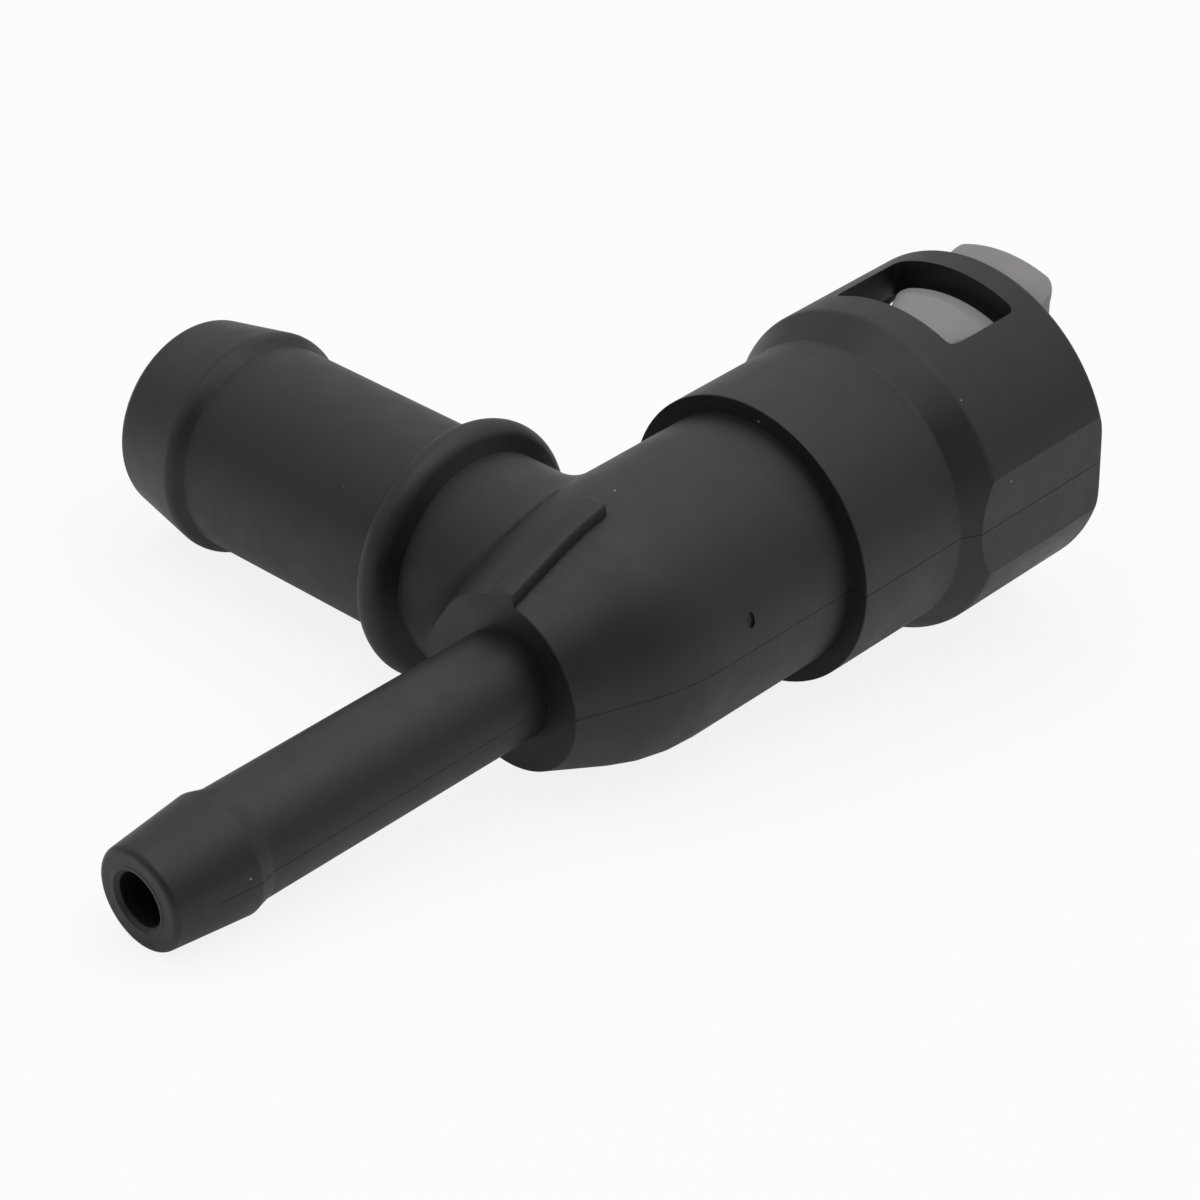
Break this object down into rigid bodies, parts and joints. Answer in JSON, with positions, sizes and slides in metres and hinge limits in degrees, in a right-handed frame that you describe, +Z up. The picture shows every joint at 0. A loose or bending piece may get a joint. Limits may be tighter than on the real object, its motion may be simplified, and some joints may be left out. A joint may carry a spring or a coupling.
{
  "type": "heater hose connector",
  "caption": "Black moulded tee for heater hoses: a straight run with a push-in pipe socket and snap retainer at one end, a slim hose barb at the other, and a wide hose barb at its side.",
  "frame": {"origin": "where the axis of the run and the axis of the side branch cross", "axes": "+X along the run to the socket's mouth, +Y along the side branch to its tip, +Z up, on the side with the rib"},
  "size_m": [0.1038, 0.0664, 0.0304],
  "materials": {
    "body": "fine matte moulded surface",
    "retainer": "satin natural nylon",
    "seal": "smooth rubber",
    "ring": "satin"
  },
  "bodies": {
    "root": {"body": "body", "retainer": "retainer", "inner_seal": "seal", "spacer_ring": "ring", "outer_seal": "seal", "seal_bush": "ring"}
  },
  "joints": []
}
